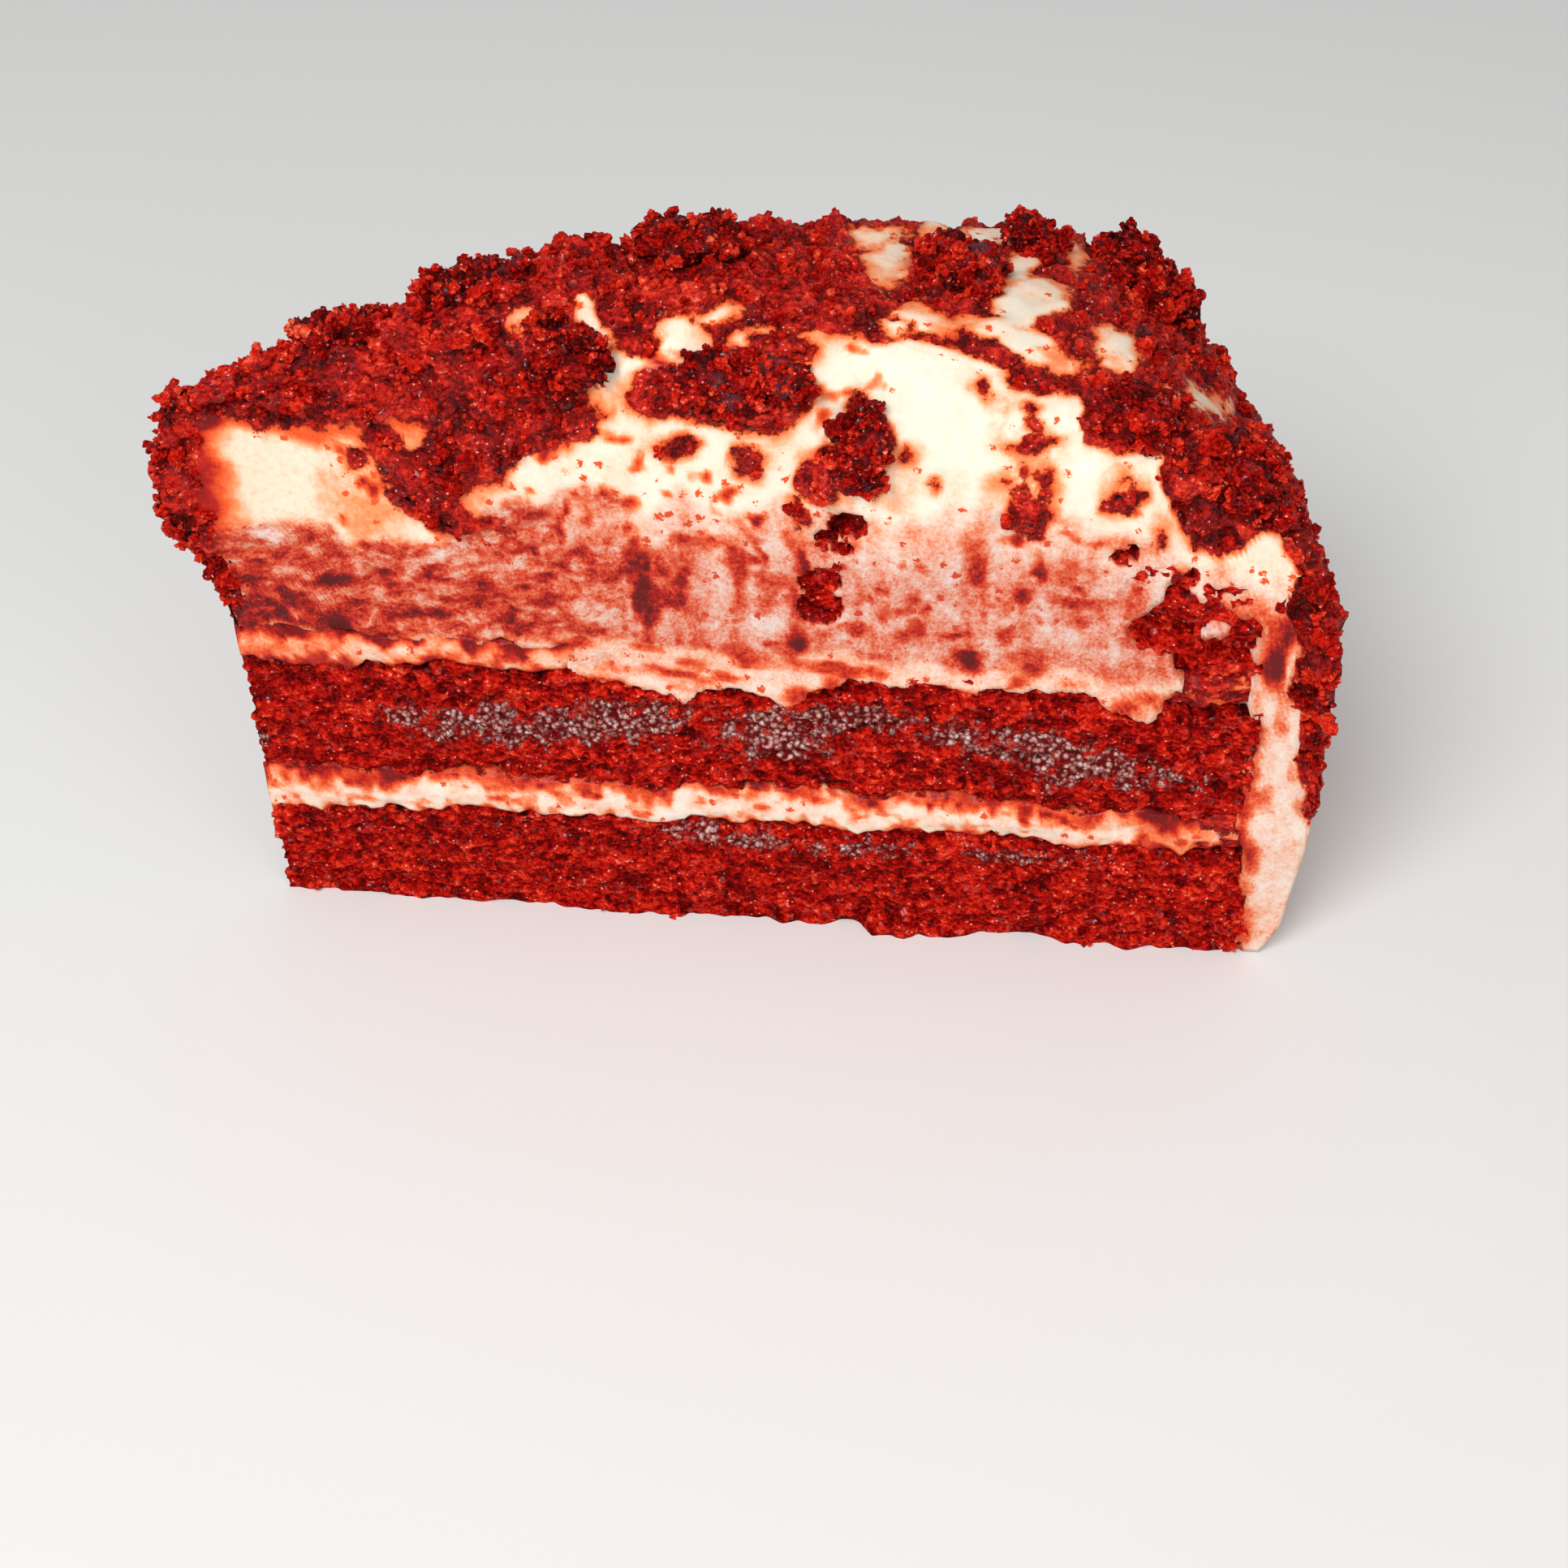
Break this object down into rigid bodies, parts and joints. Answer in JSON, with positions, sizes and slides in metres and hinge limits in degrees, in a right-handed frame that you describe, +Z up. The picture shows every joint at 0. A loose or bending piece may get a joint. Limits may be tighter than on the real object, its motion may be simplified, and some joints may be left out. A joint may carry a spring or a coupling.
{
  "type": "red velvet cake slice",
  "caption": "Wedge of layered red velvet cake with cream filling, a thick crumb-coated frosting on its top and outer side, and larger crumb clumps.",
  "frame": {"origin": "middle of the slice's bounding box, on the flat base it stands on", "axes": "+X along the front cut face from the tip to the frosted outer side, +Y from the front cut face to the back one, +Z up"},
  "size_m": [0.1276, 0.0586, 0.0821],
  "materials": {
    "sponge": "soft moist crumb, matt",
    "cream": "soft cream, satin",
    "crumbed_frosting": "cream frosting stained and covered by red crumbs",
    "crumb_clump": "moist dark red crumbs"
  },
  "bodies": {
    "root": {"sponge_lower": "sponge", "cream_lower": "cream", "sponge_middle": "sponge", "cream_upper": "cream", "sponge_upper": "sponge", "frosting": "crumbed_frosting", "clump_back_ridge": "crumb_clump", "clump_top": "crumb_clump", "clump_crest": "crumb_clump", "clump_front_dark": "crumb_clump", "clump_shoulder_right": "crumb_clump", "clump_shoulder_middle": "crumb_clump", "clump_drip": "crumb_clump", "clump_back_corner": "crumb_clump", "clump_tip_ledge": "crumb_clump", "clump_left_crest": "crumb_clump", "clump_left_low": "crumb_clump"}
  },
  "joints": []
}
